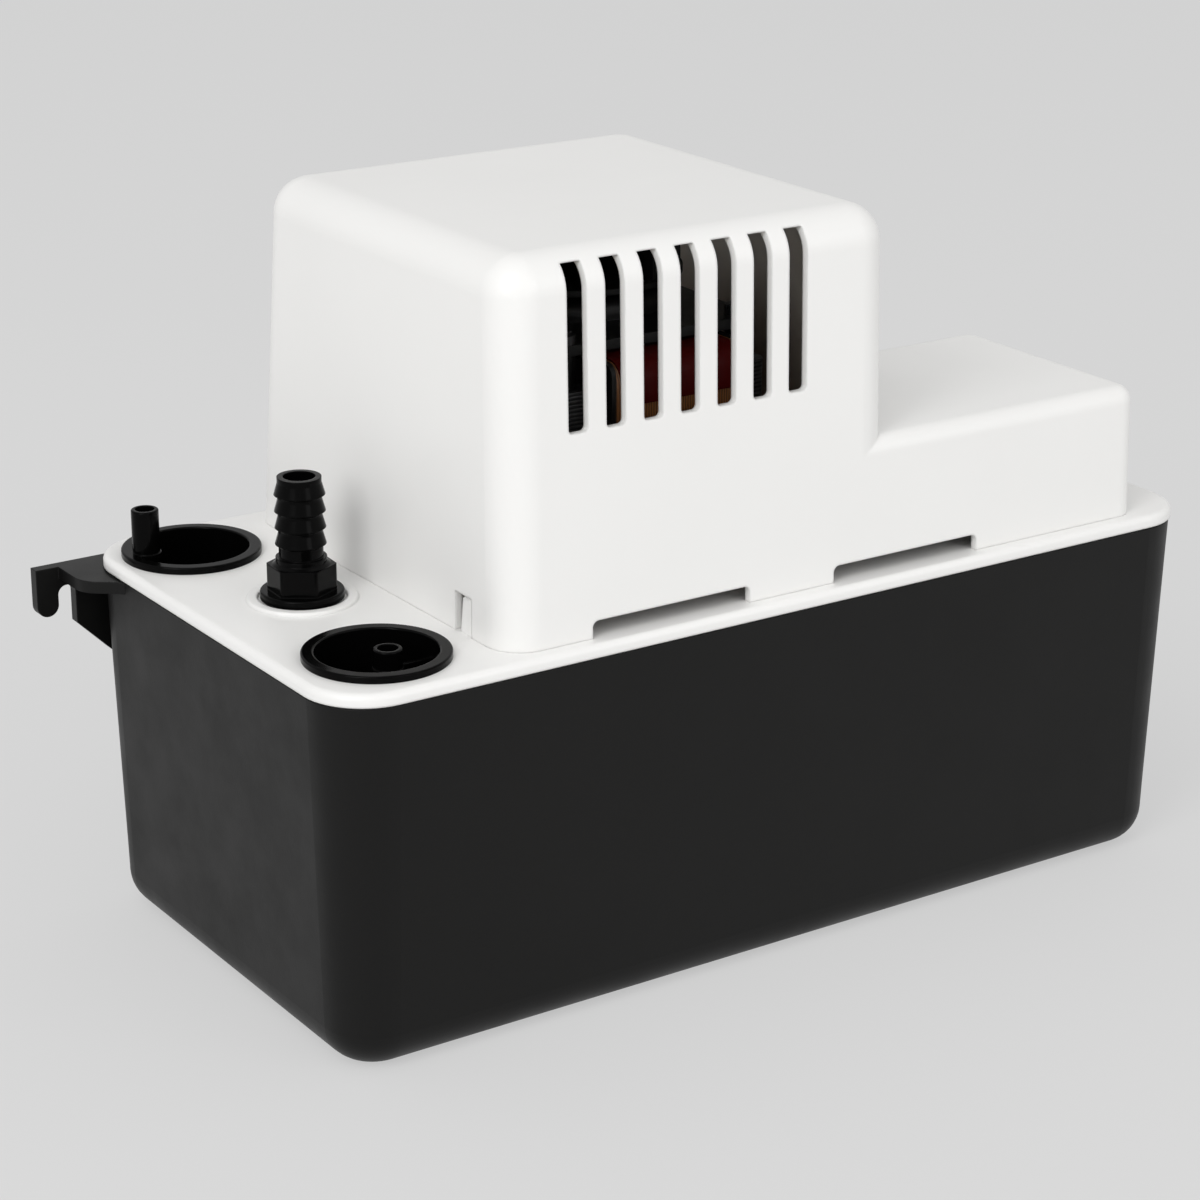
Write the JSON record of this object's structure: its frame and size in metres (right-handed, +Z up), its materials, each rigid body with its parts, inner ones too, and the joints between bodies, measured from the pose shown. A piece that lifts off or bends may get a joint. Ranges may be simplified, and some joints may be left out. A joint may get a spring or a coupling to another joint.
{
  "type": "condensate pump",
  "caption": "Condensate pump with a black tapered tank, white deck and louvred motor cover, low float switch box, inlet adapters, barbed check valve and wall hooks",
  "frame": {"origin": "middle of the tank's foot, on the surface it stands on", "axes": "+X along the tank towards the low switch box, -Y the front with the vents in view, +Z up"},
  "size_m": [0.2784, 0.1278, 0.183],
  "materials": {
    "white_abs": "satin white ABS",
    "black_abs": "satin, fine grained",
    "black_gloss": "gloss black",
    "steel": "zinc plated",
    "laminations": "stacked electrical steel",
    "cast_aluminium": "die cast",
    "black_metal": "satin black",
    "winding": "varnished copper wire",
    "red_tape": "film tape",
    "bronze": "sintered",
    "copper": "bright copper",
    "cream_plastic": "moulded nylon",
    "rubber": "matt",
    "clear_vinyl": "milky flexible tube",
    "float_foam": "closed cell"
  },
  "bodies": {
    "tank": {"tank": "black_abs"},
    "pump_head": {"deck_plate": "white_abs", "front_inlet_adapter": "black_gloss", "rear_inlet_adapter": "black_gloss", "valve_body": "black_gloss", "valve_seal": "rubber", "valve_nut": "black_gloss", "discharge_tube": "clear_vinyl", "pump_housing": "black_abs", "volute_cover": "black_abs", "column_screws": "steel", "cord_bushing": "rubber", "lower_bracket": "cast_aluminium", "lower_bushing": "bronze", "stator_core": "laminations", "shading_rings": "copper", "bobbin": "cream_plastic", "coil_winding": "winding", "coil_tape": "red_tape", "upper_bracket": "black_metal", "upper_bushing": "bronze", "motor_screws": "steel", "switch_bracket": "steel", "run_switch": "black_abs", "safety_switch": "black_abs", "switch_screws": "steel", "lever_pin": "steel"},
    "rotor": {"motor_shaft": "steel", "rotor_core": "laminations", "rotor_end_rings": "cast_aluminium", "thrust_washers": "cream_plastic", "slinger_disc": "rubber", "cooling_fan": "black_abs", "impeller": "cream_plastic"},
    "float": {"float_block": "float_foam", "float_rod": "steel", "rod_collars": "cream_plastic"},
    "lever": {"switch_lever": "steel"},
    "run_button": {"run_plunger": "cream_plastic"},
    "safety_button": {"safety_plunger": "cream_plastic"},
    "check_ball": {"valve_ball": "steel"},
    "cover": {"motor_cover": "white_abs"}
  },
  "joints": [
    {"name": "head_lift", "type": "slide", "parent": "tank", "child": "pump_head", "axis": [0, 0, 1], "range_m": [0, 0.1]},
    {"name": "cover_lift", "type": "slide", "parent": "pump_head", "child": "cover", "axis": [0, 0, 1], "range_m": [0, 0.1]},
    {"name": "rotor_spin", "type": "hinge", "parent": "pump_head", "child": "rotor", "pos_m": [-0.0255, 0, 0.1], "axis": [0, 0, 1], "continuous": true},
    {"name": "float_rise", "type": "slide", "parent": "pump_head", "child": "float", "axis": [0, 0, 1], "range_m": [0, 0.0139]},
    {"name": "lever_tilt", "type": "hinge", "parent": "pump_head", "child": "lever", "pos_m": [0.034, -0.026, 0.11], "axis": [0, -1, 0], "range_deg": [0, 22]},
    {"name": "run_press", "type": "slide", "parent": "pump_head", "child": "run_button", "axis": [0, 0, -1], "range_m": [0, 0.00195]},
    {"name": "safety_press", "type": "slide", "parent": "pump_head", "child": "safety_button", "axis": [0, 0, -1], "range_m": [0, 0.00098]},
    {"name": "ball_lift", "type": "slide", "parent": "pump_head", "child": "check_ball", "axis": [0, 0, 1], "range_m": [0, 0.0016]}
  ],
  "couplings": [
    {"joint": "lever_tilt", "follows": "float_rise", "rad_per_m": 27.436},
    {"joint": "run_press", "follows": "float_rise", "ratio": 0.1389},
    {"joint": "safety_press", "follows": "float_rise", "ratio": 0.0694}
  ]
}
